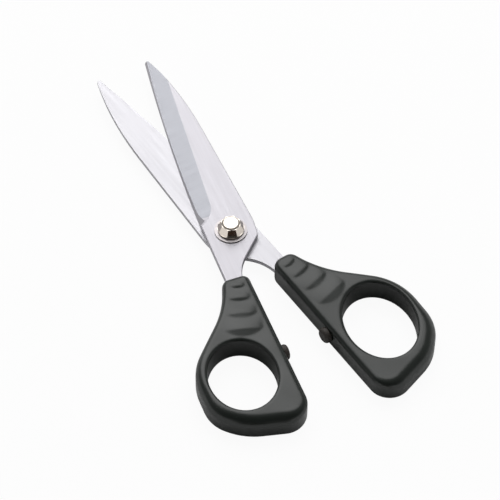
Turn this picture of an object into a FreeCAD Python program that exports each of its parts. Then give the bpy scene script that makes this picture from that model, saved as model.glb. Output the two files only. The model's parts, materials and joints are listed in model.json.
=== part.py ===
"""Fabric shears, 18 cm, lying open on their side.

Two ground steel blades cross at a screw pivot.  Each blade is stamped from flat strip, runs back into a
tang, and has a black handle moulded over that tang.  The front half carries the small thumb bow, the rear
half the longer finger bow.  A screw with a square neck is held in the rear blade; the front blade turns on
its round shoulder, and an eight-sided tension nut on a spring washer sets how tightly the blades run.

Each half is drawn closed in its own plane: the pivot axis is the Z axis, the blade points to +Y, its
cutting edge faces -X and the shear plane, where the two blades meet, is z = 0.  The rear blade is the same
part turned half round about Y.  The halves are then opened about the pivot and set down so that the
handles lie on z = 0.
"""
import FreeCAD
import Part

import math
import os

V = FreeCAD.Vector
UP = V(0, 0, 1)
ORIGIN = V(0, 0, 0)

# ---------------------------------------------------------------- driving dimensions, millimetres, degrees
# How the shears lie
open_angle = 13.6            # between the two halves as they lie
pivot_x = -0.7               # pivot axis from the middle of the open shears, across
pivot_y = -0.6               # and along

# Blade strip
blade_thickness = 2.0
blade_gap = 0.1              # running gap between the two inner faces
tip_reach = 94.2             # pivot axis to the point where edge and back would meet
tip_offset = 0.8             # that point lies this far to the edge side of the centre line
tip_radius = 0.8
edge_heel_y = 6.0            # where the cutting edge starts, ahead of the pivot
edge_heel_x = 9.4            # and how far out it lies there
edge_bow = 1.0               # how far the cutting edge bulges from its chord
back_width = 9.6             # back of the blade from the centre line, beside the pivot
back_taper = 23.2            # the line of the back turns in this far before the tip
back_knee_x = 6.4            # and that far from the centre line
back_turn_y = 2.0            # where the back starts to draw in towards the shoulder
back_turn_radius = 25.0
edge_heel_radius = 0.6
tang_blend_radius = 20.0     # gentle bend on the edge side, where the blade becomes the tang
shoulder_x = 8.7             # shoulder where the back ends
shoulder_y = 4.9
shoulder_radius = 1.2
neck_corner_y = 17.0         # where the shoulder's slope turns into the tang
neck_radius = 17.0
tang_outer_x = 9.9           # edge side of the tang from the centre line, at the handle
tang_inner_x = 2.8           # back side of the tang
tang_root = 21.3             # pivot axis to the start of the tang
tang_length = 44.0           # and to its end
tang_end_width = 5.0
tang_lean = 2.2              # the tang's end lies this much further out than its root
tang_corner = 1.2
lock_hole_radius = 1.5       # the moulding locks through these
lock_hole_pitch = 8.0
lock_hole_count = 2
lock_hole_margin = 4.5       # last hole to the end of the tang

# Grinding
bevel_width = 5.85           # from the chord of the edge to the bevel's shoulder
bevel_angle = 13.5
bevel_start = 14.5           # where the wheel leaves the blade, ahead of the pivot
wheel_radius = 31.0
edge_angle = 40.0            # the fine cutting bevel
edge_land = 0.08             # flat left under it
back_chamfer = 0.25
hollow_depth = 0.2           # hollow grinding of the inner face, at its wide end
hollow_half_width = 6.2
hollow_offset = 0.3          # its middle from the centre line
hollow_end = 88.0            # the hollow runs out at this distance from the pivot
ride_radius = 13.5           # flat round the pivot that the blades ride on

# Pivot
shoulder_pin_radius = 2.5
pin_clearance = 0.04
square_neck = 4.6            # side of the screw's square neck
neck_clearance = 0.03
screw_head_radius = 4.8
screw_head_height = 1.7
screw_head_edge = 0.7        # height of the head's straight rim, under its dome
screw_slot_width = 1.2
screw_slot_depth = 0.8
thread_radius = 2.0
thread_clearance = 0.03
thread_length = 3.0
slip_washer_radius = 6.5
slip_washer_clearance = 0.02
slip_recess = 0.3
slip_clearance = 0.02        # left between the slip washer and the front blade
spring_washer_radius = 6.0
spring_washer_thickness = 0.5
spring_washer_dish = 0.25
nut_base_radius = 4.9
nut_base_height = 0.6
nut_facets = 8
nut_foot_flat = 4.75         # axis to a facet, at its foot
nut_top_flat = 3.35          # and at its top
nut_facet_height = 2.8
nut_crown_height = 0.35
nut_turn = 17.6              # direction of one facet
nut_roof = 0.7               # metal left above the thread

# Handles: what both share
handle_thickness = 10.0
handle_edge_radius = 2.1
bow_rim_radius = 1.0
neck_length = 13.2
neck_flare = 19.8            # outer side of the neck against the centre line
neck_outer_radius = 3.5
flank_radius = 40.0

# Thumb handle, on the front blade: the outline is drawn round the hole
thumb_inner_edge = 2.0       # inner edge from the centre line
thumb_neck_width = 9.8
thumb_neck_start = 22.3      # pivot axis to the handle's front end
thumb_neck_radius = 2.7      # corner between that end and the inner edge
thumb_hole_width = 24.5
thumb_hole_length = 29.7
thumb_hole_lean = 8.9        # long axis of the hole against the centre line
thumb_hole_y = 64.15         # pivot axis to the middle of the hole
thumb_inner_wall = 5.3       # between the hole and the inner edge
thumb_flank_wall = 4.3       # between the hole and the flank
thumb_side_wall = 4.0        # outside of the hole
thumb_lower_wall = 5.2       # between the hole and the bow's lower side
thumb_lower_slope = 43.0     # of that side, against the bottom edge of a square bow
thumb_base_wall = 6.2        # below the hole
thumb_base_slope = 13.2
thumb_upper_radius = 21.0
thumb_outer_radius = 13.5
thumb_lower_radius = 24.0
thumb_heel_radius = 8.3

# Finger handle, on the rear blade
finger_inner_edge = 2.45
finger_neck_width = 9.0
finger_neck_start = 21.7
finger_neck_radius = 4.0
finger_hole_width = 25.8
finger_hole_length = 33.4
finger_hole_lean = -16.0
finger_hole_y = 64.85
finger_inner_wall = 4.25
finger_flank_wall = 3.8
finger_side_wall = 3.95
finger_lower_wall = 6.4
finger_lower_slope = 47.2
finger_base_wall = 7.15
finger_base_slope = 17.4
finger_upper_radius = 23.0
finger_outer_radius = 16.5
finger_lower_radius = 20.5
finger_heel_radius = 8.0

# Grip scales, raised on the upper face of each neck
scale_count = 4
scale_lead = 5.8             # front end of the handle to the crest of the first
scale_margin = 3.2           # crest of the last to the finger hole
scale_pitch_growth = 1.4     # each step is this much longer than the one before
scale_first_radius = 3.3
scale_radius_growth = 1.5
scale_height = 0.6           # how far each crest stands proud
scale_depth = 1.6            # thickness of the pad, most of it sunk in the neck
scale_tilt = 12.0
scale_round = 0.4
scale_line_x = 7.9           # the scales' own centre line starts this far out
scale_line_lean = 14.0       # and leans outwards

# Rubber buffers between the handles
buffer_y = 57.1
buffer_radius = 2.9
buffer_stem_radius = 1.8
buffer_stem_length = 3.2
buffer_round = 1.2
buffer_gap = 0.1             # between the two buffers when closed
socket_clearance = 0.02

# ---------------------------------------------------------------- what follows from them
inner_face = blade_gap / 2
outer_face = inner_face + blade_thickness
slip_washer_thickness = slip_recess + blade_gap - slip_clearance
washer_top = outer_face + spring_washer_thickness + spring_washer_dish
buffer_height = (thumb_inner_edge + finger_inner_edge - buffer_gap) / 2
rest_height = handle_thickness / 2


# ---------------------------------------------------------------- drawing helpers
def corner_arc(before, corner, after, radius):
    """Start, middle, end and centre of the arc that rounds one corner of an outline."""
    back = (before - corner).normalize()
    on = (after - corner).normalize()
    half = back.getAngle(on) / 2
    run = radius / math.tan(half)
    centre = corner + (back + on).normalize() * (radius / math.sin(half))
    middle = centre + (corner - centre).normalize() * radius
    return corner + back * run, middle, corner + on * run, centre


def rounded_outline(corners):
    """A closed wire of lines and tangent arcs through corners given as (x, y, radius)."""
    points = [V(x, y, 0) for x, y, _ in corners]
    arcs = []
    for i, (_, _, radius) in enumerate(corners):
        arcs.append(corner_arc(points[i - 1], points[i], points[(i + 1) % len(points)], radius))
    edges = []
    for i, (start, middle, end, _) in enumerate(arcs):
        edges.append(Part.Arc(start, middle, end).toShape())
        following = arcs[(i + 1) % len(arcs)][0]
        if end.distanceToPoint(following) > 1e-6:
            edges.append(Part.LineSegment(end, following).toShape())
    return Part.Wire(edges)


def meeting(first, second):
    """Corner where two straight sides meet, each given as its outward normal and distance."""
    (a, p), (b, q) = first, second
    turn = a.x * b.y - a.y * b.x
    return V((p * b.y - q * a.y) / turn, (q * a.x - p * b.x) / turn, 0)


def plate(wire, low, high):
    """A flat plate of that outline between two heights."""
    solid = Part.Face(wire).extrude(UP * (high - low))
    solid.translate(UP * low)
    return solid


def disc(radius, low, high):
    return Part.makeCylinder(radius, high - low, UP * low)


def ring(outer, inner, low, high):
    return disc(outer, low, high).cut(disc(inner, low - 1, high + 1))


def square_bar(side, low, high):
    return Part.makeBox(side, side, high - low, V(-side / 2, -side / 2, low))


def on_height(edge, z):
    """True when the edge lies level at that height."""
    box = edge.BoundBox
    return abs(box.ZMin - z) < 1e-4 and abs(box.ZMax - z) < 1e-4


def polygon(points):
    return Part.Face(Part.makePolygon(points + points[:1]))


# ---------------------------------------------------------------- blades
def edge_corners():
    """Heel, outermost control point and tip of the cutting edge."""
    heel = V(-edge_heel_x, edge_heel_y, 0)
    tip = V(-tip_offset, tip_reach, 0)
    along = (tip - heel).normalize()
    outwards = V(-along.y, along.x, 0)
    return heel, (heel + tip) / 2 + outwards * (2 * edge_bow), tip


def back_knee():
    return V(back_knee_x, tip_reach - back_taper, 0)


def sweep_radius(before, corner):
    """Radius of the arc at that corner which runs out just short of the rounded tip."""
    tip = edge_corners()[2]
    point = (edge_corners()[1] - tip).getAngle(back_knee() - tip) / 2
    run = corner.distanceToPoint(tip) - 1.1 * tip_radius / math.tan(point)
    half = (before - corner).getAngle(tip - corner) / 2
    return run * math.tan(half)


def edge_radius():
    heel, bulge, tip = edge_corners()
    return sweep_radius(heel, bulge)


def blade_outline():
    heel, bulge, tip = edge_corners()
    knee = back_knee()
    return rounded_outline([
        (tip.x, tip.y, tip_radius),
        (bulge.x, bulge.y, edge_radius()),
        (heel.x, heel.y, edge_heel_radius),
        (-tang_outer_x, -tang_root, tang_blend_radius),
        (-tang_outer_x - tang_lean, -tang_length, tang_corner),
        (-tang_outer_x - tang_lean + tang_end_width, -tang_length, tang_corner),
        (-tang_inner_x, -neck_corner_y, neck_radius),
        (shoulder_x, -shoulder_y, shoulder_radius),
        (back_width, back_turn_y, back_turn_radius),
        (knee.x, knee.y, sweep_radius(V(back_width, back_turn_y, 0), knee)),
    ])


def wheel_cut(foot, along, across, start, radius, reach):
    """Metal a grinding wheel takes above a sloping face, running off in an arc before start."""
    normal = along.cross(across)
    if normal.z < 0:
        normal = -normal
    tilt = math.radians(60)

    def at(s, n):
        return foot + along * s + normal * n - across * bevel_width

    lift = radius * (1 - math.cos(tilt))
    back = start - radius * math.sin(tilt)
    middle = at(start - radius * math.sin(tilt / 2), radius * (1 - math.cos(tilt / 2)))
    profile = Part.Wire([
        Part.LineSegment(at(reach, 0), at(start, 0)).toShape(),
        Part.Arc(at(start, 0), middle, at(back, lift)).toShape(),
        Part.LineSegment(at(back, lift), at(reach, lift)).toShape(),
        Part.LineSegment(at(reach, lift), at(reach, 0)).toShape(),
    ])
    return Part.Face(profile).extrude(across * (4 * bevel_width))


def sloping(direction, angle):
    """Level direction turned down by that many degrees."""
    a = math.radians(angle)
    return direction * math.cos(a) - UP * math.sin(a)


def fine_bevel():
    """Metal the whetstone takes: a narrow band of a cone that follows the bow of the cutting edge."""
    heel, bulge, tip = edge_corners()
    radius = edge_radius()
    centre = corner_arc(heel, bulge, tip, radius)[3]
    outwards = (heel - centre).normalize()
    rise = math.tan(math.radians(edge_angle))
    land = inner_face + edge_land

    def at(out, up):
        return centre + outwards * (radius + out) + UP * up

    section = polygon([at(0.5, land - 0.5 * rise), at(0.5, land + 2 * rise),
                       at(-2, land + 2 * rise)])
    return section.revolve(centre, UP, -math.degrees(1.06 * heel.distanceToPoint(tip) / radius))


def blade_blank():
    """Front blade before the pivot hole: strip, bevel, hollow, tang and lock holes."""
    strip = plate(blade_outline(), inner_face, outer_face)
    strip = strip.makeChamfer(back_chamfer, [e for e in strip.Edges if on_height(e, outer_face)])
    heel, bulge, tip = edge_corners()
    along = (tip - heel).normalize()
    outwards = V(-along.y, along.x, 0)
    foot = heel - outwards * bevel_width + UP * outer_face
    strip = strip.cut(wheel_cut(foot, along, sloping(outwards, bevel_angle),
                                bevel_start - edge_heel_y, wheel_radius, 1.2 * tip_reach))
    strip = strip.cut(fine_bevel())
    # hollow of the inner face, a wide cylinder dipping into it and running out before the tip
    radius = (hollow_half_width ** 2 + hollow_depth ** 2) / (2 * hollow_depth)
    dip = math.atan2(hollow_depth, hollow_end - ride_radius)
    axis = V(0, math.cos(dip), -math.sin(dip))
    centre = V(hollow_offset, 0, inner_face + hollow_depth - radius + math.tan(dip) * ride_radius)
    hollow = Part.makeCylinder(radius, 1.2 * tip_reach, centre, axis)
    slab = Part.makeBox(4 * back_width, 1.1 * tip_reach, blade_thickness,
                        V(-2 * back_width, 0, inner_face - blade_thickness / 2))
    hollow = hollow.common(slab).cut(disc(ride_radius, -blade_thickness, blade_thickness))
    strip = strip.cut(hollow)
    # holes along the middle of the tang
    root = V(-(tang_outer_x + tang_inner_x) / 2, -tang_root, 0)
    end = V(-tang_outer_x - tang_lean + tang_end_width / 2, -tang_length, 0)
    back = (root - end).normalize()
    for i in range(lock_hole_count):
        hole = end + back * (lock_hole_margin + i * lock_hole_pitch)
        strip = strip.cut(through_blade(lock_hole_radius).translated(hole))
    return strip


def through_blade(radius):
    return disc(radius, -blade_thickness, outer_face + blade_thickness)


def front_blade():
    return blade_blank().cut(through_blade(shoulder_pin_radius + pin_clearance))


def rear_blade():
    blade = blade_blank()
    blade = blade.cut(square_bar(square_neck + 2 * neck_clearance, -blade_thickness,
                                 outer_face + blade_thickness))
    blade = blade.cut(disc(slip_washer_radius + slip_washer_clearance, 0, inner_face + slip_recess))
    return turned_over(blade)


def mirrored(solid):
    """The piece's mirror image across the centre line."""
    return solid.mirror(ORIGIN, V(1, 0, 0))


def turned_over(solid):
    """The same piece turned half round about the Y axis."""
    return solid.rotated(ORIGIN, V(0, 1, 0), 180)


# ---------------------------------------------------------------- handles
class Bow:
    """One finger hole and the handle outline that is drawn round it."""

    def __init__(self, neck, hole, walls, slopes, radii):
        self.inner_edge, self.neck_width, self.start, self.neck_radius = neck
        self.width, self.length, self.lean, y = hole
        self.inner_wall, self.flank_wall, self.side_wall, self.lower_wall, self.base_wall = walls
        self.lower_slope, self.base_slope = slopes
        self.upper, self.outer, self.lower, self.heel = radii
        self.centre = ORIGIN
        self.centre = V(-self.inner_edge - self.inner_wall - self.support(V(1, 0, 0)), -y, 0)

    def support(self, normal):
        """How far the hole reaches from its own middle in that direction."""
        lean = math.radians(self.lean)
        across = V(math.cos(lean), -math.sin(lean), 0)
        along = V(math.sin(lean), math.cos(lean), 0)
        return math.hypot(normal.dot(across) * self.width / 2, normal.dot(along) * self.length / 2)

    def side(self, normal, wall):
        """Side of the outline with that outward normal, as far from the hole as the wall says."""
        return normal, normal.dot(self.centre) + self.support(normal) + wall

    def sloping_side(self, slope, wall):
        angle = math.radians(slope)
        return self.side(V(-math.sin(angle), -math.cos(angle), 0), wall)

    def flank(self, knee):
        """Side that leaves the neck's knee and passes the hole at the flank's wall."""
        low, high = 0.0, math.pi / 2
        for _ in range(50):
            angle = (low + high) / 2
            normal = V(-math.cos(angle), math.sin(angle), 0)
            if normal.dot(knee) < self.side(normal, self.flank_wall)[1]:
                low = angle
            else:
                high = angle
        return normal, normal.dot(knee)

    def outline(self):
        flare = math.radians(neck_flare)
        neck_x = self.inner_edge + self.neck_width
        knee = V(-neck_x - neck_length * math.sin(flare),
                 -self.start - neck_length * math.cos(flare), 0)
        flank = self.flank(knee)
        outer = self.sloping_side(90, self.side_wall)
        lower = self.sloping_side(self.lower_slope, self.lower_wall)
        base = self.sloping_side(self.base_slope, self.base_wall)
        inner = (V(1, 0, 0), -self.inner_edge)
        corners = [(V(-self.inner_edge, -self.start, 0), self.neck_radius),
                   (V(-neck_x, -self.start, 0), neck_outer_radius),
                   (knee, flank_radius),
                   (meeting(flank, outer), self.upper),
                   (meeting(outer, lower), self.outer),
                   (meeting(lower, base), self.lower),
                   (meeting(base, inner), self.heel)]
        return rounded_outline([(corner.x, corner.y, radius) for corner, radius in corners])

    def hole(self):
        """The finger hole's wall as a solid to be taken away."""
        oval = Part.Wire(Part.Ellipse(ORIGIN, self.length / 2, self.width / 2).toShape())
        half = handle_thickness / 2
        hole = plate(oval, -half, half)
        hole.rotate(ORIGIN, UP, 90 - self.lean)
        hole.translate(self.centre)
        return hole

    def scale_x(self, y):
        """The scales' own centre line, leaning out along the neck."""
        lead = y - self.start - scale_lead
        return scale_line_x + lead * math.tan(math.radians(scale_line_lean))

    def scale_crests(self):
        """Where each grip scale's crest lies: evenly growing steps from the neck to the hole."""
        first = self.start + scale_lead
        top = -self.centre.y - self.length / 2
        offset = (-self.centre.x - self.scale_x(top)) / (self.width / 2)
        last = -self.centre.y - self.length / 2 * math.sqrt(1 - offset ** 2) - scale_margin
        gaps = scale_count - 1
        step = (last - first - scale_pitch_growth * gaps * (gaps - 1) / 2) / gaps
        crests = [first]
        for i in range(gaps):
            crests.append(crests[-1] + step + i * scale_pitch_growth)
        return crests


def thumb_bow():
    return Bow((thumb_inner_edge, thumb_neck_width, thumb_neck_start, thumb_neck_radius),
               (thumb_hole_width, thumb_hole_length, thumb_hole_lean, thumb_hole_y),
               (thumb_inner_wall, thumb_flank_wall, thumb_side_wall, thumb_lower_wall,
                thumb_base_wall),
               (thumb_lower_slope, thumb_base_slope),
               (thumb_upper_radius, thumb_outer_radius, thumb_lower_radius, thumb_heel_radius))


def finger_bow():
    return Bow((finger_inner_edge, finger_neck_width, finger_neck_start, finger_neck_radius),
               (finger_hole_width, finger_hole_length, finger_hole_lean, finger_hole_y),
               (finger_inner_wall, finger_flank_wall, finger_side_wall, finger_lower_wall,
                finger_base_wall),
               (finger_lower_slope, finger_base_slope),
               (finger_upper_radius, finger_outer_radius, finger_lower_radius,
                finger_heel_radius))


def grip_scale(radius, x, y):
    """A tilted round pad whose rim breaks the upper face of the neck as a crescent."""
    pad = disc(radius, -scale_depth, 0)
    pad = pad.makeFillet(scale_round, [e for e in pad.Edges if on_height(e, 0)])
    pad.translate(V(0, radius, 0))
    # only the part that stands proud is wanted, and a little more to root it in the neck
    proud = scale_height / math.sin(math.radians(scale_tilt)) + scale_round
    pad = pad.common(Part.makeBox(2 * radius, proud, scale_depth, V(-radius, 0, -scale_depth)))
    pad.rotate(ORIGIN, V(1, 0, 0), -scale_tilt)
    pad.rotate(ORIGIN, UP, -scale_line_lean)
    pad.translate(V(-x, -y, handle_thickness / 2 + scale_height))
    return pad


def handle(bow, blade):
    half = handle_thickness / 2
    body = plate(bow.outline(), -half, half)
    body = body.makeFillet(handle_edge_radius, [e for e in body.Edges
                                                if on_height(e, half) or on_height(e, -half)])
    body = body.cut(bow.hole())
    rims = [e for e in body.Edges if isinstance(e.Curve, Part.Ellipse)
            and (on_height(e, half) or on_height(e, -half))]
    body = body.makeFillet(bow_rim_radius, rims)
    radius = scale_first_radius
    for y in bow.scale_crests():
        body = body.fuse(grip_scale(radius, bow.scale_x(y), y))
        radius += scale_radius_growth
    body = body.removeSplitter().cut(blade)
    socket = Part.makeCylinder(buffer_stem_radius + socket_clearance,
                               buffer_stem_length + socket_clearance,
                               V(-bow.inner_edge, -buffer_y, 0), V(-1, 0, 0))
    return body.cut(socket)


def buffer(bow):
    """Rubber button with its stem, in the inner edge of that bow's handle."""
    head = Part.makeCylinder(buffer_radius, buffer_height)
    head = head.makeFillet(buffer_round, [e for e in head.Edges if on_height(e, buffer_height)])
    stem = Part.makeCylinder(buffer_stem_radius, buffer_stem_length, ORIGIN, -UP)
    button = head.fuse(stem)
    button.rotate(ORIGIN, V(0, 1, 0), 90)
    button.translate(V(-bow.inner_edge, -buffer_y, 0))
    return button


# ---------------------------------------------------------------- pivot
def pivot_screw():
    under = -outer_face
    rim = polygon([V(0, 0, under), V(screw_head_radius, 0, under),
                   V(screw_head_radius, 0, under - screw_head_edge), V(0, 0, under - screw_head_edge)])
    head = rim.revolve(ORIGIN, UP, 360)
    rise = screw_head_height - screw_head_edge
    ball = (screw_head_radius ** 2 + rise ** 2) / (2 * rise)
    dome = Part.makeSphere(ball, V(0, 0, under - screw_head_height + ball))
    dome = dome.common(disc(screw_head_radius, under - screw_head_height, under - screw_head_edge))
    head = head.fuse(dome)
    slot = Part.makeBox(2 * screw_head_radius + 2, screw_slot_width, screw_slot_depth,
                        V(-screw_head_radius - 1, -screw_slot_width / 2, under - screw_head_height))
    head = head.cut(slot)
    neck = square_bar(square_neck, under, -inner_face - slip_recess)
    shoulder = disc(shoulder_pin_radius, -inner_face - slip_recess, washer_top - 0.05)
    thread = disc(thread_radius, washer_top - 0.05, washer_top + thread_length)
    thread = thread.makeChamfer(0.3, [e for e in thread.Edges
                                      if on_height(e, washer_top + thread_length)])
    return head.fuse(neck).fuse(shoulder).fuse(thread)


def slip_washer():
    bottom = -inner_face - slip_recess
    return ring(slip_washer_radius, shoulder_pin_radius + pin_clearance,
                bottom, bottom + slip_washer_thickness)


def spring_washer():
    inner, outer = shoulder_pin_radius + pin_clearance, spring_washer_radius
    low, high = outer_face, outer_face + spring_washer_dish
    section = polygon([V(inner, 0, high), V(outer, 0, low),
                       V(outer, 0, low + spring_washer_thickness),
                       V(inner, 0, high + spring_washer_thickness)])
    return section.revolve(ORIGIN, UP, 360)


def octagon(flat, z):
    corner = flat / math.cos(math.pi / nut_facets)
    turn = 2 * math.pi / nut_facets
    points = [V(corner * math.cos((i + 0.5) * turn), corner * math.sin((i + 0.5) * turn), z)
              for i in range(nut_facets)]
    return Part.makePolygon(points + points[:1])


def tension_nut():
    foot = washer_top + nut_base_height
    top = foot + nut_facet_height
    base = disc(nut_base_radius, washer_top, foot)
    cap = Part.makeLoft([octagon(nut_foot_flat, foot), octagon(nut_top_flat, top)], True)
    cap = cap.common(disc(nut_base_radius, foot, top))
    crown = Part.makeCone(nut_top_flat, nut_top_flat - 2 * nut_crown_height, nut_crown_height,
                          V(0, 0, top))
    bore_top = washer_top + thread_length + thread_clearance
    nut = base.fuse(cap).fuse(crown).cut(disc(thread_radius + thread_clearance,
                                              washer_top - 1, bore_top))
    nut.rotate(ORIGIN, UP, nut_turn)
    return nut


# ---------------------------------------------------------------- assembly
def lay_down(solid, turn):
    """Open one half about the pivot and set the shears down with the handles on z = 0."""
    solid = solid.rotated(ORIGIN, UP, turn)
    solid.translate(V(pivot_x, pivot_y, rest_height))
    return solid


def build():
    front, rear = front_blade(), rear_blade()
    thumb, finger = thumb_bow(), finger_bow()
    front_half = {
        "front_blade": front,
        "thumb_handle": handle(thumb, front),
        "thumb_buffer": buffer(thumb),
    }
    rear_half = {
        "rear_blade": rear,
        "finger_handle": mirrored(handle(finger, mirrored(rear))),
        "finger_buffer": mirrored(buffer(finger)),
        "pivot_screw": pivot_screw(),
        "slip_washer": slip_washer(),
        "spring_washer": spring_washer(),
        "tension_nut": tension_nut(),
    }
    pieces = {name: lay_down(solid, -open_angle / 2) for name, solid in front_half.items()}
    pieces.update({name: lay_down(solid, open_angle / 2) for name, solid in rear_half.items()})
    return pieces


def main():
    os.makedirs("parts", exist_ok=True)
    for name, solid in build().items():
        if len(solid.Solids) == 1:
            solid = solid.Solids[0]
        solid.exportStep(os.path.join("parts", name + ".step"))


main()
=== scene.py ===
# %% [markdown]
# # Fabric shears, 18 cm
# Sewing shears lie open on a white table. The solid model already holds every real piece at
# its real size, so this lesson dresses it: first the materials, then softer skins for the
# moulded handles, then table and light. Everything is in metres. +Y runs to the blade tips,
# +Z is up, and the plane z = 0 is the table.

# %% Load the solid model
import json
import math

import bmesh
import bpy
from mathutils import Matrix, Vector


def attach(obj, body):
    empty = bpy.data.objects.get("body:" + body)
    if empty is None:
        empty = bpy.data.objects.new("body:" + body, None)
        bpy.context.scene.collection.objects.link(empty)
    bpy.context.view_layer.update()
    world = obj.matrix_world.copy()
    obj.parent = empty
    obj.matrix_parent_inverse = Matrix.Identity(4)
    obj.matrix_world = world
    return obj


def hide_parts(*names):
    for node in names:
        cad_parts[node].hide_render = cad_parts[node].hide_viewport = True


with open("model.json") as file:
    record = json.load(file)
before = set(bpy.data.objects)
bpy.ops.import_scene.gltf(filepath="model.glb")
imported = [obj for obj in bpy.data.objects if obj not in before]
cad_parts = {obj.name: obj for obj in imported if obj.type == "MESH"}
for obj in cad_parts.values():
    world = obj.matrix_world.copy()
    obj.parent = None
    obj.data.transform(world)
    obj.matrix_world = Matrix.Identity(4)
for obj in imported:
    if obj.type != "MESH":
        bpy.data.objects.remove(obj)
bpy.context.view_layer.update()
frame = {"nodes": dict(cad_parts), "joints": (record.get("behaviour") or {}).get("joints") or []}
nodes = frame["nodes"]
scene = bpy.context.scene
print("pieces:", sorted(nodes))

# %% [markdown]
# **Shared sizes.** A few sizes come back again and again. The pivot is read from the joint
# and not typed in, so it can't drift away from the solid model.

# %% Sizes that several cells use
mm = 0.001
pivot = Vector(frame["joints"][0]["pos_m"])
half_opening = math.radians(6.8)
shear_plane = 5.0 * mm
print("pivot at", [round(c / mm, 2) for c in pivot], "mm")

# %% [markdown]
# **Camera.** The camera looks down on the shears from the thumb's side. A short lens close by
# would shrink the far tips; a long lens from about a metre keeps them in proportion, as in a
# shop's catalogue. A small shift of the lens frames the shears without turning the camera.


# %% Place the camera
def direction(azimuth, elevation):
    """Unit vector away from the shears, in degrees: from -Y towards +X, then upwards."""
    a, e = math.radians(azimuth), math.radians(elevation)
    return Vector((math.sin(a) * math.cos(e), -math.cos(a) * math.cos(e), math.sin(e)))


def place(thing, target, towards, distance):
    """Put a camera or lamp that far from the target and turn it to look there."""
    scene.collection.objects.link(thing)
    thing.location = target + towards * distance
    thing.rotation_mode = "QUATERNION"
    thing.rotation_quaternion = (-towards).to_track_quat("-Z", "Y")


view_azimuth, view_elevation, view_distance = -27.4, 50.8, 0.9432
focal_length, sensor_width = 185.76, 36.0          # in millimetres, as on a lens
shift_right, shift_up = 0.0384, -0.032             # shares of the frame's width
camera = bpy.data.objects.new("camera", bpy.data.cameras.new("camera"))
camera.data.lens, camera.data.sensor_width = focal_length, sensor_width
camera.data.shift_x, camera.data.shift_y = shift_right, shift_up
camera.data.clip_start, camera.data.clip_end = 0.01, 20
place(camera, pivot + Vector((0, 0, shear_plane)),
      direction(view_azimuth, view_elevation), view_distance)
scene.camera = camera
print("camera", round(view_distance, 3), "m from the pivot")

# %% [markdown]
# **Helpers.** Colours are written as the hex values a paint program shows, and one function
# turns them into the linear values that Blender mixes light with. A second one adds a node
# with its settings and links, so that each material below reads as a short list.


# %% Helpers for materials
noise_low, noise_high = 0.3, 0.7       # a noise texture seldom leaves these values


def hex_colour(code):
    """The linear colour of an sRGB hex value."""
    channels = [int(code[i:i + 2], 16) / 255 for i in (1, 3, 5)]
    linear = [c / 12.92 if c <= 0.04045 else ((c + 0.055) / 1.055) ** 2.4 for c in channels]
    return (*linear, 1.0)


def add(tree, kind, inputs=None, **settings):
    """Add a node. An input is a value, a socket, or a node, whose first output it takes."""
    node = tree.nodes.new(kind)
    for name, value in settings.items():
        setattr(node, name, value)
    for name, value in (inputs or {}).items():
        if isinstance(value, bpy.types.Node):
            value = value.outputs[0]
        if isinstance(value, bpy.types.NodeSocket):
            tree.links.new(value, node.inputs[name])
        else:
            node.inputs[name].default_value = value
    return node


def new_material(name):
    material = bpy.data.materials.new(name)
    material.use_nodes = True
    material.node_tree.nodes.clear()
    return material


print("mid grey #808080 is", round(hex_colour("#808080")[0], 3), "in linear light")

# %% [markdown]
# **Blades: ground stainless steel.** The blades are stamped from stainless strip. Their flats
# are finished with a fine belt that runs along the blade, and the bevels are ground on a wheel
# that leaves short lines across them. Both could be painted as an image; noise stretched in
# one direction costs nothing and never repeats. Real lines are a few hundredths of a
# millimetre apart; they are drawn about ten times as coarse, so that they can be seen at all.
#
# The bevel's slope is a fact of the mesh, so the material finds the bevel by the direction
# its faces point in: 13.5 degrees off straight up or straight down. There it draws the wheel's
# lines and gives the steel a darker colour, which is painted shade for the bevel's tilt away
# from the light.

# %% Ground stainless: its sizes
bevel_angle = math.radians(13.5)
bevel_tolerance = 0.012                          # of the normal's height
belt_pitch, belt_length = 0.5 * mm, 30 * mm      # drawn 10 times as coarse as the real lines
wheel_pitch, wheel_length = 0.45 * mm, 12 * mm   # likewise
smoothest, roughest = 0.46, 0.54                 # roughness between and along the lines
belt_lines = (1 / belt_pitch, 1 / belt_length, 1 / belt_pitch)
wheel_lines = (1 / wheel_length, 1 / wheel_pitch, 2 / wheel_length)
print("belt lines per cm:", round(0.01 / belt_pitch))


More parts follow.
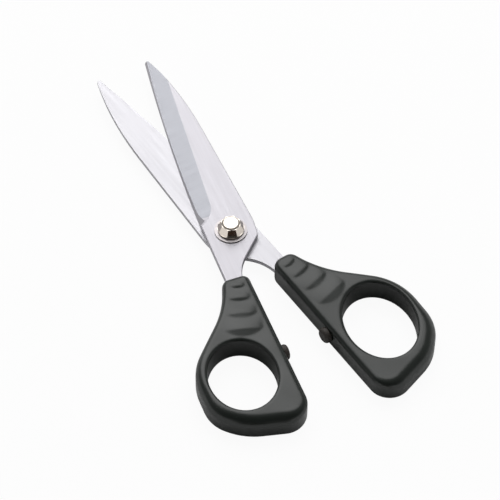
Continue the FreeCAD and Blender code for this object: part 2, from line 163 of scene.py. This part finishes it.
# %% Ground stainless: the material
def ground_stainless(name, turn, flat):
    """Steel for one blade, whose length is turned that far from the Y axis."""
    material = new_material(name)
    tree = material.node_tree
    position = add(tree, "ShaderNodeTexCoord").outputs["Object"]
    along = add(tree, "ShaderNodeMapping", {"Vector": position, "Rotation": (0, 0, -turn)})
    stretched = add(tree, "ShaderNodeMapping", {"Vector": along, "Scale": belt_lines})
    belt = add(tree, "ShaderNodeTexNoise",
               {"Vector": stretched, "Scale": 1.0, "Detail": 3.0, "Roughness": 0.65})
    stretched = add(tree, "ShaderNodeMapping", {"Vector": along, "Scale": wheel_lines})
    wheel = add(tree, "ShaderNodeTexNoise",
                {"Vector": stretched, "Scale": 1.0, "Detail": 3.0, "Roughness": 0.6})
    normal = add(tree, "ShaderNodeNewGeometry").outputs["True Normal"]
    split = add(tree, "ShaderNodeSeparateXYZ", {0: normal})
    upright = add(tree, "ShaderNodeMath", {0: split.outputs["Z"]}, operation="ABSOLUTE")
    bevel = add(tree, "ShaderNodeMath", {0: upright, 1: math.cos(bevel_angle),
                                         2: bevel_tolerance}, operation="COMPARE")
    lines = add(tree, "ShaderNodeMix", {"Factor": bevel, "A": belt, "B": wheel},
                data_type="FLOAT")
    # The bevel's darker steel colour is painted shade for its tilt away from the light.
    colour = add(tree, "ShaderNodeMix",
                 {0: bevel, 6: hex_colour(flat), 7: hex_colour("#abacb2")}, data_type="RGBA")
    haze = add(tree, "ShaderNodeMapRange",
               {"Value": lines, "From Min": noise_low, "From Max": noise_high,
                "To Min": smoothest, "To Max": roughest})
    bump = add(tree, "ShaderNodeBump",
               {"Height": lines, "Strength": 0.35, "Distance": 0.01 * mm})
    shader = add(tree, "ShaderNodeBsdfPrincipled",
                 {"Base Color": colour.outputs[2], "Roughness": haze, "Normal": bump,
                  "Metallic": 1.0})
    add(tree, "ShaderNodeOutputMaterial", {"Surface": shader})
    return material


# The rear blade's flat colour is lighter than the front one's: painted light, standing in for
# the brighter reflection the rear blade shows.
front_steel = ground_stainless("ground_stainless_front", -half_opening, "#bfbdc2")
rear_steel = ground_stainless("ground_stainless_rear", half_opening, "#c7c6ca")
print("steel:", front_steel.name, rear_steel.name)

# %% [markdown]
# **Handles: black ABS, moulded over the tangs.** The mould is spark eroded, which leaves a
# fine even grain and a satin face: light from behind lies on it as a broad grey sheen, and
# whatever turns away from the light is nearly black. The grain is about 0.1 mm in reality and
# is drawn at 0.45 mm. Hands polish the plastic unevenly, so the roughness drifts a little
# over a centimetre or two.

# %% Satin black ABS
grain_size = 0.45 * mm          # drawn 4 times as coarse as the real grain
polish_size = 14 * mm
handled, untouched = 0.28, 0.36 # roughness where hands rub, and where they don't


def satin_abs():
    material = new_material("satin_black_abs")
    tree = material.node_tree
    position = add(tree, "ShaderNodeTexCoord").outputs["Object"]
    grain = add(tree, "ShaderNodeTexNoise", {"Vector": position, "Scale": 1 / grain_size,
                                             "Detail": 2.0, "Roughness": 0.6})
    handling = add(tree, "ShaderNodeTexNoise",
                   {"Vector": position, "Scale": 1 / polish_size, "Detail": 2.0})
    polish = add(tree, "ShaderNodeMapRange",
                 {"Value": handling, "From Min": noise_low, "From Max": noise_high,
                  "To Min": handled, "To Max": untouched})
    tint = add(tree, "ShaderNodeMix", {0: handling, 6: hex_colour("#060f09"),
                                       7: hex_colour("#0a140d")}, data_type="RGBA")
    bump = add(tree, "ShaderNodeBump",
               {"Height": grain, "Strength": 0.5, "Distance": 0.02 * mm})
    shader = add(tree, "ShaderNodeBsdfPrincipled",
                 {"Base Color": tint.outputs[2], "Roughness": polish, "Normal": bump,
                  "IOR": 1.54})
    add(tree, "ShaderNodeOutputMaterial", {"Surface": shader})
    return material


abs_plastic = satin_abs()
print("plastic:", abs_plastic.name)

# %% [markdown]
# **Buffers: moulded rubber.** Two rubber buttons stop the handles from clapping together.
# Filled rubber is a warm dark grey and matt, with a slightly uneven skin. One noise drives
# both its tint and its bump, so that the darker spots are also the hollows: the darker tint
# is painted shade in the skin's hollows.

# %% Buffer rubber
rubber_skin = 0.6 * mm


def matt_rubber():
    material = new_material("moulded_rubber")
    tree = material.node_tree
    position = add(tree, "ShaderNodeTexCoord").outputs["Object"]
    skin = add(tree, "ShaderNodeTexNoise",
               {"Vector": position, "Scale": 1 / rubber_skin, "Detail": 3.0})
    # The darker tint falls in the bump's hollows: painted shade.
    tint = add(tree, "ShaderNodeMix", {0: skin, 6: hex_colour("#2e2926"),
                                       7: hex_colour("#3b3530")}, data_type="RGBA")
    bump = add(tree, "ShaderNodeBump",
               {"Height": skin, "Strength": 0.5, "Distance": 0.04 * mm})
    shader = add(tree, "ShaderNodeBsdfPrincipled",
                 {"Base Color": tint.outputs[2], "Normal": bump, "Roughness": 0.62,
                  "IOR": 1.52})
    add(tree, "ShaderNodeOutputMaterial", {"Surface": shader})
    return material


rubber = matt_rubber()
print("rubber:", rubber.name)

# %% [markdown]
# **Pivot: nickel plate, spring steel and nylon.** The nut is milled brass with bright nickel
# on it, a mirror with a warm cast. The washer under it is dull spring steel, the screw is
# bright turned steel, and a thin nylon washer keeps the blades apart. The metals differ only
# in colour and in how hazy handling has made them, so one function makes all three.

# %% Metals and nylon of the pivot
wear_size = 1.5 * mm


def worn_metal(name, colour, roughness, wear):
    """Metal whose roughness rises by that much where it is worn."""
    material = new_material(name)
    tree = material.node_tree
    position = add(tree, "ShaderNodeTexCoord").outputs["Object"]
    patches = add(tree, "ShaderNodeTexNoise",
                  {"Vector": position, "Scale": 1 / wear_size, "Detail": 4.0})
    haze = add(tree, "ShaderNodeMapRange",
               {"Value": patches, "From Min": 0.35, "From Max": 0.75, "To Min": roughness,
                "To Max": roughness + wear})
    shader = add(tree, "ShaderNodeBsdfPrincipled",
                 {"Roughness": haze, "Base Color": hex_colour(colour), "Metallic": 1.0})
    add(tree, "ShaderNodeOutputMaterial", {"Surface": shader})
    return material


def natural_nylon():
    material = new_material("natural_nylon")
    tree = material.node_tree
    shader = add(tree, "ShaderNodeBsdfPrincipled",
                 {"Base Color": hex_colour("#e8e4d8"), "Roughness": 0.4, "IOR": 1.53,
                  "Subsurface Weight": 0.15, "Subsurface Scale": 0.5 * mm})
    add(tree, "ShaderNodeOutputMaterial", {"Surface": shader})
    return material


nickel = worn_metal("bright_nickel_plate", "#dbd2c8", 0.09, 0.05)
turned_steel = worn_metal("turned_steel", "#c4c2c0", 0.2, 0.1)
spring_steel = worn_metal("tempered_spring_steel", "#b9b4b5", 0.4, 0.1)
nylon = natural_nylon()
print("pivot:", nickel.name, turned_steel.name, spring_steel.name, nylon.name)

# %% [markdown]
# **Dressing.** Each piece of the solid model is one material all through, as each real piece
# is one blank, one moulding or one turned part. A plain table of piece and material is
# easier to check than a rule.

# %% Dress the solid model
finishes = {"front_blade": front_steel, "rear_blade": rear_steel, "thumb_handle": abs_plastic,
            "finger_handle": abs_plastic, "thumb_buffer": rubber, "finger_buffer": rubber,
            "pivot_screw": turned_steel, "slip_washer": nylon, "spring_washer": spring_steel,
            "tension_nut": nickel}
for name, finish in finishes.items():
    for i in range(len(nodes[name].data.materials)):
        nodes[name].data.materials[i] = finish
print("dressed", len(finishes), "pieces")

# %% [markdown]
# **Soft skins for the handles.** A moulded grip has no even edge. It is crisp where the blade
# goes in and grows rounder towards the heel, where the hand lies on it. The solid model has
# one radius all round. Sculpting would soften it by eye; here each handle gets a skin, made
# from a copy of the solid, whose points are moved by a rule that can be read and changed.
#
# The rule needs the distance from each point to the handle's outline. So the first step is
# that outline: the longest loop in which a level plane cuts the handle.


# %% A closed copy of a solid, and its outline
def closed_copy(node):
    """The solid's mesh is loose triangles; in this copy they are joined."""
    shell = bmesh.new()
    shell.from_mesh(nodes[node].data)
    bmesh.ops.remove_doubles(shell, verts=shell.verts, dist=0.001 * mm)
    return shell


def new_object(name, shell):
    mesh = bpy.data.meshes.new(name)
    shell.to_mesh(mesh)
    shell.free()
    thing = bpy.data.objects.new(name, mesh)
    scene.collection.objects.link(thing)
    return thing


def joined_loops(edges):
    """Sort loose edges into the loops they form."""
    left, loops = set(edges), []
    while left:
        loop, front = [], [left.pop()]
        while front:
            edge = front.pop()
            loop.append(edge)
            beside = {e for vert in edge.verts for e in vert.link_edges} & left
            left -= beside
            front += beside
        loops.append(loop)
    return loops


def outline_of(node, height):
    """The longest loop in which the level plane at that height cuts the solid."""
    shell = closed_copy(node)
    cut = bmesh.ops.bisect_plane(shell, geom=shell.verts[:] + shell.edges[:] + shell.faces[:],
                                 plane_co=(0, 0, height), plane_no=(0, 0, 1))
    edges = [part for part in cut["geom_cut"] if isinstance(part, bmesh.types.BMEdge)]
    longest = set(max(joined_loops(edges),
                      key=lambda loop: sum(edge.calc_length() for edge in loop)))
    kept = {vert for edge in longest for vert in edge.verts}
    bmesh.ops.delete(shell, geom=shell.faces[:], context="FACES_ONLY")
    bmesh.ops.delete(shell, geom=[e for e in shell.edges if e not in longest],
                     context="EDGES")
    bmesh.ops.delete(shell, geom=[v for v in shell.verts if v not in kept], context="VERTS")
    return new_object(node + "_outline", shell)


top_height = 10.0 * mm
outline_height = 8.0 * mm
outlines = {node: outline_of(node, outline_height) for node in ("thumb_handle",
                                                                "finger_handle")}
for node, loop in outlines.items():
    print(node, "outline has", len(loop.data.edges), "edges")

# %% [markdown]
# **The tree's inputs.** A Geometry Nodes tree is the rule itself. Everything that differs
# between the two handles is a named input, so both share one tree.

# %% Tree for the soft edge: inputs
input_kinds = {
    "Geometry": ["Geometry"],
    "Object": ["Outline"],
    "Float": ["Outline Height", "Solid Radius", "Neck Radius", "Heel Radius", "Neck Y",
              "Heel Y", "Heel Fall", "Top", "Crest 1", "Crest 2", "Crest 3", "Crest 4",
              "Rise 1", "Rise 2", "Rise 3", "Rise 4"],
    "Vector": ["Pivot", "Outwards", "Along", "Scale Outwards", "Scale Along"],
    "Material": ["Material"],
}
soft_edge = bpy.data.node_groups.new("soft_edge", "GeometryNodeTree")
soft_edge.interface.new_socket("Geometry", in_out="OUTPUT", socket_type="NodeSocketGeometry")
for kind, names in input_kinds.items():
    for name in names:
        soft_edge.interface.new_socket(name, in_out="INPUT", socket_type="NodeSocket" + kind)
given = add(soft_edge, "NodeGroupInput").outputs
print("inputs:", len(given) - 1)

# %% [markdown]
# **The edge.** With R the radius of an edge and t the distance in from the outline, the
# surface lies R - sqrt(R^2 - (R - t)^2) below the flat. The skin sinks by the difference
# between the arc it should have and the arc the solid has. R grows from neck to heel, but
# only on the outer side: the inner edges, which face each other, stay crisp.

# %% Tree for the soft edge: where each point is
inner_side, outer_side = 2 * mm, 13 * mm      # outwards from the line through the pivot
position = add(soft_edge, "GeometryNodeInputPosition").outputs[0]
at = add(soft_edge, "ShaderNodeSeparateXYZ", {0: position}).outputs
level = add(soft_edge, "ShaderNodeCombineXYZ",
            {"X": at["X"], "Y": at["Y"], "Z": given["Outline Height"]})
outline = add(soft_edge, "GeometryNodeObjectInfo", {"Object": given["Outline"]})
near = add(soft_edge, "GeometryNodeProximity",
           {0: outline.outputs["Geometry"], "Sample Position": level},
           target_element="EDGES")
distance = near.outputs["Distance"]
from_pivot = add(soft_edge, "ShaderNodeVectorMath", {0: position, 1: given["Pivot"]},
                 operation="SUBTRACT")
out = add(soft_edge, "ShaderNodeVectorMath", {0: from_pivot, 1: given["Outwards"]},
          operation="DOT_PRODUCT")
side = add(soft_edge, "ShaderNodeMapRange",
           {"Value": out.outputs["Value"], "From Min": inner_side, "From Max": outer_side},
           interpolation_type="SMOOTHSTEP")
heel = add(soft_edge, "ShaderNodeMapRange",
           {"Value": at["Y"], "From Min": given["Neck Y"], "From Max": given["Heel Y"]},
           interpolation_type="SMOOTHSTEP")
print("nodes so far:", len(soft_edge.nodes))


# %% Tree for the soft edge: the difference between two arcs
def arc_drop(tree, radius, distance):
    """How far an edge of that radius lies below the flat, that far in from the outline."""
    left = add(tree, "ShaderNodeMath", {0: radius, 1: distance}, operation="SUBTRACT")
    inside = add(tree, "ShaderNodeMath", {0: left, 1: 0.0}, operation="MAXIMUM")
    whole = add(tree, "ShaderNodeMath", {0: radius, 1: radius}, operation="MULTIPLY")
    part = add(tree, "ShaderNodeMath", {0: inside, 1: inside}, operation="MULTIPLY")
    rest = add(tree, "ShaderNodeMath", {0: whole, 1: part}, operation="SUBTRACT")
    root = add(tree, "ShaderNodeMath", {0: rest}, operation="SQRT")
    return add(tree, "ShaderNodeMath", {0: radius, 1: root}, operation="SUBTRACT")


growth = add(soft_edge, "ShaderNodeMath",
             {0: given["Heel Radius"], 1: given["Neck Radius"]}, operation="SUBTRACT")
growth = add(soft_edge, "ShaderNodeMath", {0: growth, 1: side}, operation="MULTIPLY")
radius = add(soft_edge, "ShaderNodeMath", {0: heel, 1: growth, 2: given["Neck Radius"]},
             operation="MULTIPLY_ADD")
wanted = arc_drop(soft_edge, radius, distance)
present = arc_drop(soft_edge, given["Solid Radius"], distance)
arcs = add(soft_edge, "ShaderNodeMath", {0: wanted, 1: present}, operation="SUBTRACT")
fall = add(soft_edge, "ShaderNodeMath", {0: heel, 1: given["Heel Fall"], 2: arcs},
           operation="MULTIPLY_ADD")
print("nodes so far:", len(soft_edge.nodes))

# %% [markdown]
# **The walls.** Points low on the walls may not sink, or they would go through the table.
# They follow less and less towards the bottom, so that no faces fold. The solid's own raised
# scales are pressed flat here, because softer ones come next.

# %% Tree for the soft edge: how far each point moves
upper = add(soft_edge, "ShaderNodeMapRange",
            {"Value": at["Z"], "From Max": given["Outline Height"]},
            interpolation_type="SMOOTHSTEP")
sink = add(soft_edge, "ShaderNodeMath", {0: fall, 1: upper}, operation="MULTIPLY")
proud = add(soft_edge, "ShaderNodeMath", {0: at["Z"], 1: given["Top"]}, operation="SUBTRACT")
proud = add(soft_edge, "ShaderNodeMath", {0: proud, 1: 0.0}, operation="MAXIMUM")
lowered = add(soft_edge, "ShaderNodeMath", {0: sink, 1: proud}, operation="ADD")
rise = add(soft_edge, "ShaderNodeMath", {0: lowered, 1: -1.0}, operation="MULTIPLY")
print("nodes so far:", len(soft_edge.nodes))

# %% [markdown]
# **The grip scales.** Each neck carries four raised crescents that grow towards the heel and
# give the hand hold. A crescent's face slopes down to the heel between a straight crest and
# an arc, and on the neck's side it fades into the flat. Sums of that form are easier to
# place, widen and flatten than carved ones, and the tree adds one per pass of this loop.

# %% Tree for the soft edge: four grip scales
scale_lean = math.radians(14)                 # of the row, against the handle's inner edge
scale_line = 7.9 * mm                         # first scale outwards from the pivot's line
scale_widths = [5.5 * mm, 8.4 * mm, 11.3 * mm, 14.2 * mm]
scale_depths = [1.2 * mm, 1.7 * mm, 2.4 * mm, 3.4 * mm]
fade_share = 0.55                             # of the width, on the neck's side
walls_end, top_begins = 8 * mm, 9.5 * mm
top_only = add(soft_edge, "ShaderNodeMapRange",
               {"Value": at["Z"], "From Min": walls_end, "From Max": top_begins})
for number, (width, depth) in enumerate(zip(scale_widths, scale_depths), start=1):
    crest = given["Crest %d" % number]
    lead = add(soft_edge, "ShaderNodeMath", {0: crest, 1: given["Crest 1"]},
               operation="SUBTRACT")
    line = add(soft_edge, "ShaderNodeMath", {0: lead, 1: math.tan(scale_lean), 2: scale_line},
               operation="MULTIPLY_ADD")
    spot = add(soft_edge, "ShaderNodeVectorMath", {0: given["Outwards"], "Scale": line},
               operation="SCALE")
    spot = add(soft_edge, "ShaderNodeVectorMath", {0: given["Along"], 1: crest, 2: spot},
               operation="MULTIPLY_ADD")
    here = add(soft_edge, "ShaderNodeVectorMath", {0: from_pivot, 1: spot},
               operation="SUBTRACT")
    ahead = add(soft_edge, "ShaderNodeVectorMath", {0: here, 1: given["Scale Along"]},
                operation="DOT_PRODUCT").outputs["Value"]
    aside = add(soft_edge, "ShaderNodeVectorMath", {0: here, 1: given["Scale Outwards"]},
                operation="DOT_PRODUCT").outputs["Value"]
    bend = (width ** 2 / 4 + depth ** 2) / (2 * depth)      # radius of the crescent's arc
    square = add(soft_edge, "ShaderNodeMath", {0: aside, 1: aside}, operation="MULTIPLY")
    chord = add(soft_edge, "ShaderNodeMath", {0: bend ** 2, 1: square}, operation="SUBTRACT")
    root = add(soft_edge, "ShaderNodeMath", {0: chord}, operation="SQRT")
    arc = add(soft_edge, "ShaderNodeMath", {0: root, 1: bend}, operation="SUBTRACT")
    behind = add(soft_edge, "ShaderNodeMath", {0: ahead, 1: -depth}, operation="MAXIMUM")
    reach = add(soft_edge, "ShaderNodeMath", {0: arc, 1: behind}, operation="SUBTRACT")
    reach = add(soft_edge, "ShaderNodeMath", {0: reach, 1: 0.0}, operation="MAXIMUM")
    fade = add(soft_edge, "ShaderNodeMapRange",
               {"Value": ahead, "From Min": -depth - fade_share * width,
                "From Max": -depth}, interpolation_type="SMOOTHSTEP")
    slope = add(soft_edge, "ShaderNodeMath", {0: given["Rise %d" % number], 1: depth},
                operation="DIVIDE")
    height = add(soft_edge, "ShaderNodeMath", {0: reach, 1: slope}, operation="MULTIPLY")
    height = add(soft_edge, "ShaderNodeMath", {0: height, 1: fade}, operation="MULTIPLY")
    rise = add(soft_edge, "ShaderNodeMath", {0: height, 1: top_only, 2: rise},
               operation="MULTIPLY_ADD")
print("nodes so far:", len(soft_edge.nodes))

# %% [markdown]
# **The end of the tree.** All the heights meet in one Set Position, because moving a point
# once keeps each sum readable. Realize Instances and Set Material close the tree, so that
# what leaves it is a plain mesh with its own plastic on it.

# %% Tree for the soft edge: move the points and set the material
offset = add(soft_edge, "ShaderNodeCombineXYZ", {"Z": rise})
moved = add(soft_edge, "GeometryNodeSetPosition",
            {"Geometry": given["Geometry"], "Offset": offset})
real = add(soft_edge, "GeometryNodeRealizeInstances", {0: moved})
dressed = add(soft_edge, "GeometryNodeSetMaterial",
              {"Geometry": real, "Material": given["Material"]})
add(soft_edge, "NodeGroupOutput", {0: dressed})
print("soft_edge tree has", len(soft_edge.nodes), "nodes")

# %% [markdown]
# **Making the skins.** The solid's triangles are long and thin, and a rule that moves points
# needs an even net. So each skin goes through three modifiers: a voxel remesh makes the net,
# the tree moves it, and a light smoothing takes away the steps that voxels leave. The result
# is kept as a plain mesh.

# %% Values that both handles share
net_size = 0.35 * mm
smoothing_passes = 9
solid_radius = 2.1 * mm
neck_y, heel_y = -38 * mm, -72 * mm
input_names = {item.name: item.identifier for item in soft_edge.interface.items_tree
               if item.in_out == "INPUT"}
print("net of", net_size / mm, "mm")


# %% Skins of the two handles
def soft_skin(node, body, hand, crests, rises, heel_radius, heel_fall):
    """Skin of one handle: hand is -1 on the -X side, 1 on the +X side.

    Crests are the scales' places along the neck and rises their heights, in millimetres.
    """
    outwards = Vector((hand * math.cos(half_opening), math.sin(half_opening), 0))
    along = Vector((hand * math.sin(half_opening), -math.cos(half_opening), 0))
    values = {"Outline": outlines[node], "Outline Height": outline_height,
              "Solid Radius": solid_radius, "Neck Radius": solid_radius,
              "Heel Radius": heel_radius, "Neck Y": neck_y, "Heel Y": heel_y,
              "Heel Fall": heel_fall, "Top": top_height, "Pivot": pivot,
              "Outwards": outwards, "Along": along,
              "Scale Outwards": outwards * math.cos(scale_lean) - along * math.sin(scale_lean),
              "Scale Along": along * math.cos(scale_lean) + outwards * math.sin(scale_lean),
              "Material": abs_plastic}
    for number, (crest, height) in enumerate(zip(crests, rises), start=1):
        values["Crest %d" % number] = crest * mm
        values["Rise %d" % number] = height * mm
    skin = new_object(node + "_skin", closed_copy(node))
    net = skin.modifiers.new("even_net", "REMESH")
    net.mode, net.voxel_size, net.use_smooth_shade = "VOXEL", net_size, True
    edge = skin.modifiers.new("soft_edge", "NODES")
    edge.node_group = soft_edge
    for name, value in values.items():
        edge[input_names[name]] = value
    relax = skin.modifiers.new("polish", "SMOOTH")
    relax.factor, relax.iterations = 0.5, smoothing_passes
    made = bpy.data.meshes.new_from_object(
        skin.evaluated_get(bpy.context.evaluated_depsgraph_get()))
    skin.modifiers.clear()
    skin.data = made
    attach(skin, body)
    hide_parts(node)
    print(skin.name, len(made.polygons), "faces")


soft_skin("thumb_handle", "front_half", -1, crests=[28.1, 34.0, 41.5, 49.1],
          rises=[0.35, 0.45, 0.6, 0.62], heel_radius=3.9 * mm, heel_fall=0.0)
soft_skin("finger_handle", "rear_half", 1, crests=[27.5, 33.3, 40.7, 49.0],
          rises=[0.35, 0.42, 0.52, 0.48], heel_radius=4.0 * mm, heel_fall=0.8 * mm)
for loop in outlines.values():
    bpy.data.objects.remove(loop)

# %% [markdown]
# **Table.** The shears lie on a white table whose rim curves up into a low cove, so that the
# background stays white from every side. Lighting a table until it is white would burn out
# the steel as well. So what the camera sees is mostly the table's own even white, and the
# small matt rest leaves a faint shadow under the shears. Mirrors see the same white, except
# close by: there they see the real, shaded table, as the foot of a wall does.


# %% Table: the form
def cove(profile, steps):
    """Turn the profile, (radius, height) from the middle outwards, round the Z axis."""
    points = [(r * math.cos(i * math.tau / steps), r * math.sin(i * math.tau / steps), z)
              for r, z in profile for i in range(steps)]
    faces = [tuple(range(steps))]
    for row in range(len(profile) - 1):
        for i in range(steps):
            j = (i + 1) % steps
            faces.append((row * steps + i, (row + 1) * steps + i,
                          (row + 1) * steps + j, row * steps + j))
    mesh = bpy.data.meshes.new("table")
    mesh.from_pydata(points, [], faces)
    shell = bmesh.new()
    shell.from_mesh(mesh)
    bmesh.ops.recalc_face_normals(shell, faces=shell.faces)
    shell.to_mesh(mesh)
    shell.free()
    return mesh


cove_profile = [(2.0, 0.0), (2.25, 0.03), (2.45, 0.12), (2.58, 0.3), (2.6, 0.7)]
table = bpy.data.objects.new("table", cove(cove_profile, steps=64))
scene.collection.objects.link(table)
print("table", 2 * cove_profile[-1][0], "m across")

# %% Table: the material
own_white = 0.94                              # share of what is seen that isn't lit
near_mirror, far_mirror = 20 * mm, 120 * mm   # mirrors see the even white fade in over this


def white_table():
    material = new_material("matt_white_table")
    tree = material.node_tree
    rays = add(tree, "ShaderNodeLightPath").outputs
    far = add(tree, "ShaderNodeMapRange", {"Value": rays["Ray Length"],
                                           "From Min": near_mirror, "From Max": far_mirror})
    mirrored = add(tree, "ShaderNodeMath", {0: rays["Is Glossy Ray"], 1: far},
                   operation="MULTIPLY")
    seen = add(tree, "ShaderNodeMath", {0: rays["Is Camera Ray"], 1: mirrored},
               operation="MAXIMUM")
    seen = add(tree, "ShaderNodeMath", {0: seen, 1: rays["Is Transmission Ray"]},
               operation="MAXIMUM")
    share = add(tree, "ShaderNodeMath", {0: seen, 1: own_white}, operation="MULTIPLY")
    matt = add(tree, "ShaderNodeBsdfDiffuse", {"Color": hex_colour("#f2f2f2")})
    white = add(tree, "ShaderNodeEmission", {"Color": (1, 1, 1, 1), "Strength": 1.0})
    mix = add(tree, "ShaderNodeMixShader", {0: share, 1: matt, 2: white})
    add(tree, "ShaderNodeOutputMaterial", {"Surface": mix})
    return material


table.data.materials.append(white_table())
print("table material:", table.data.materials[0].name)

# %% [markdown]
# **Lamps.** A wide softbox stands behind the blades, half way up. That is where the level
# tops of the handles and the flats of the blades mirror to, so it is the grey sheen on the
# plastic and the white of the steel. A second, broader lamp to the right lights matt colour
# only, up to the level at which a colour shows as it is written; mirrors don't see it.


# %% Lamps
def soft_box(name, azimuth, elevation, distance, width, height, radiance):
    """A rectangular lamp whose face has that brightness, where 1 is white."""
    light = bpy.data.lights.new(name, "AREA")
    light.shape, light.size, light.size_y = "RECTANGLE", width, height
    light.energy = math.pi * width * height * radiance
    lamp = bpy.data.objects.new(name, light)
    place(lamp, Vector(), direction(azimuth, elevation), distance)
    lamp.visible_camera = False
    return lamp


key = soft_box("key_softbox", azimuth=168, elevation=50, distance=1.3, width=1.05, height=1.0,
               radiance=2.5)
wash = soft_box("matt_wash", azimuth=110, elevation=52, distance=1.8, width=1.6, height=1.6,
                radiance=1.5)
wash.visible_glossy = False
print("lamps:", round(key.data.energy, 1), "W and", round(wash.data.energy, 1), "W")

# %% [markdown]
# **Flag.** A studio crew puts a dark card, a flag, where a mirror needs something dark to
# show. The nut is such a mirror: without the card its front facet melts into the white
# table. Only mirrors see the card; it gives no shade.

# %% A dark card in front
flag_distance, flag_half_width, flag_height = 0.4, 0.13, 0.11
foot = direction(view_azimuth, 0) * flag_distance
across = direction(view_azimuth + 90, 0) * flag_half_width
up = Vector((0, 0, flag_height))
card = bpy.data.meshes.new("dark_flag")
card.from_pydata([foot - across, foot + across, foot + across + up, foot - across + up],
                 [], [(0, 1, 2, 3)])
felt = new_material("brown_felt")
cloth = add(felt.node_tree, "ShaderNodeBsdfDiffuse", {"Color": hex_colour("#3a2c24")})
add(felt.node_tree, "ShaderNodeOutputMaterial", {"Surface": cloth})
card.materials.append(felt)
flag = bpy.data.objects.new("dark_flag", card)
scene.collection.objects.link(flag)
flag.visible_camera = flag.visible_diffuse = flag.visible_shadow = False
flag.visible_transmission = False
print("flag", flag_distance, "m in front")

# %% [markdown]
# **Room.** Grey walls stand all round, and the corner on the camera's side is
# darker. Edges that turn towards the camera mirror that corner and go dark, which draws the
# form on white. The world shader needs only the direction of each ray: the closer it comes
# to the dark corner, the darker the wall.

# %% Room
wall_grey, corner_grey = 0.42, 0.18
walls_from, corner_from = -0.3, 0.6     # cosine of the angle to the middle of the corner


def studio_room():
    room = bpy.data.worlds.new("studio_room")
    room.use_nodes = True
    tree = room.node_tree
    tree.nodes.clear()
    ray = add(tree, "ShaderNodeTexCoord").outputs["Generated"]
    facing = add(tree, "ShaderNodeVectorMath", {0: ray, 1: direction(view_azimuth, 0)},
                 operation="DOT_PRODUCT")
    grey = add(tree, "ShaderNodeMapRange",
               {"Value": facing.outputs["Value"], "From Min": walls_from,
                "From Max": corner_from, "To Min": wall_grey, "To Max": corner_grey},
               interpolation_type="SMOOTHSTEP")
    walls = add(tree, "ShaderNodeBackground", {"Strength": grey})
    add(tree, "ShaderNodeOutputWorld", {"Surface": walls})
    return room


scene.world = studio_room()
scene.view_settings.view_transform = "Standard"
print("room:", scene.world.name)
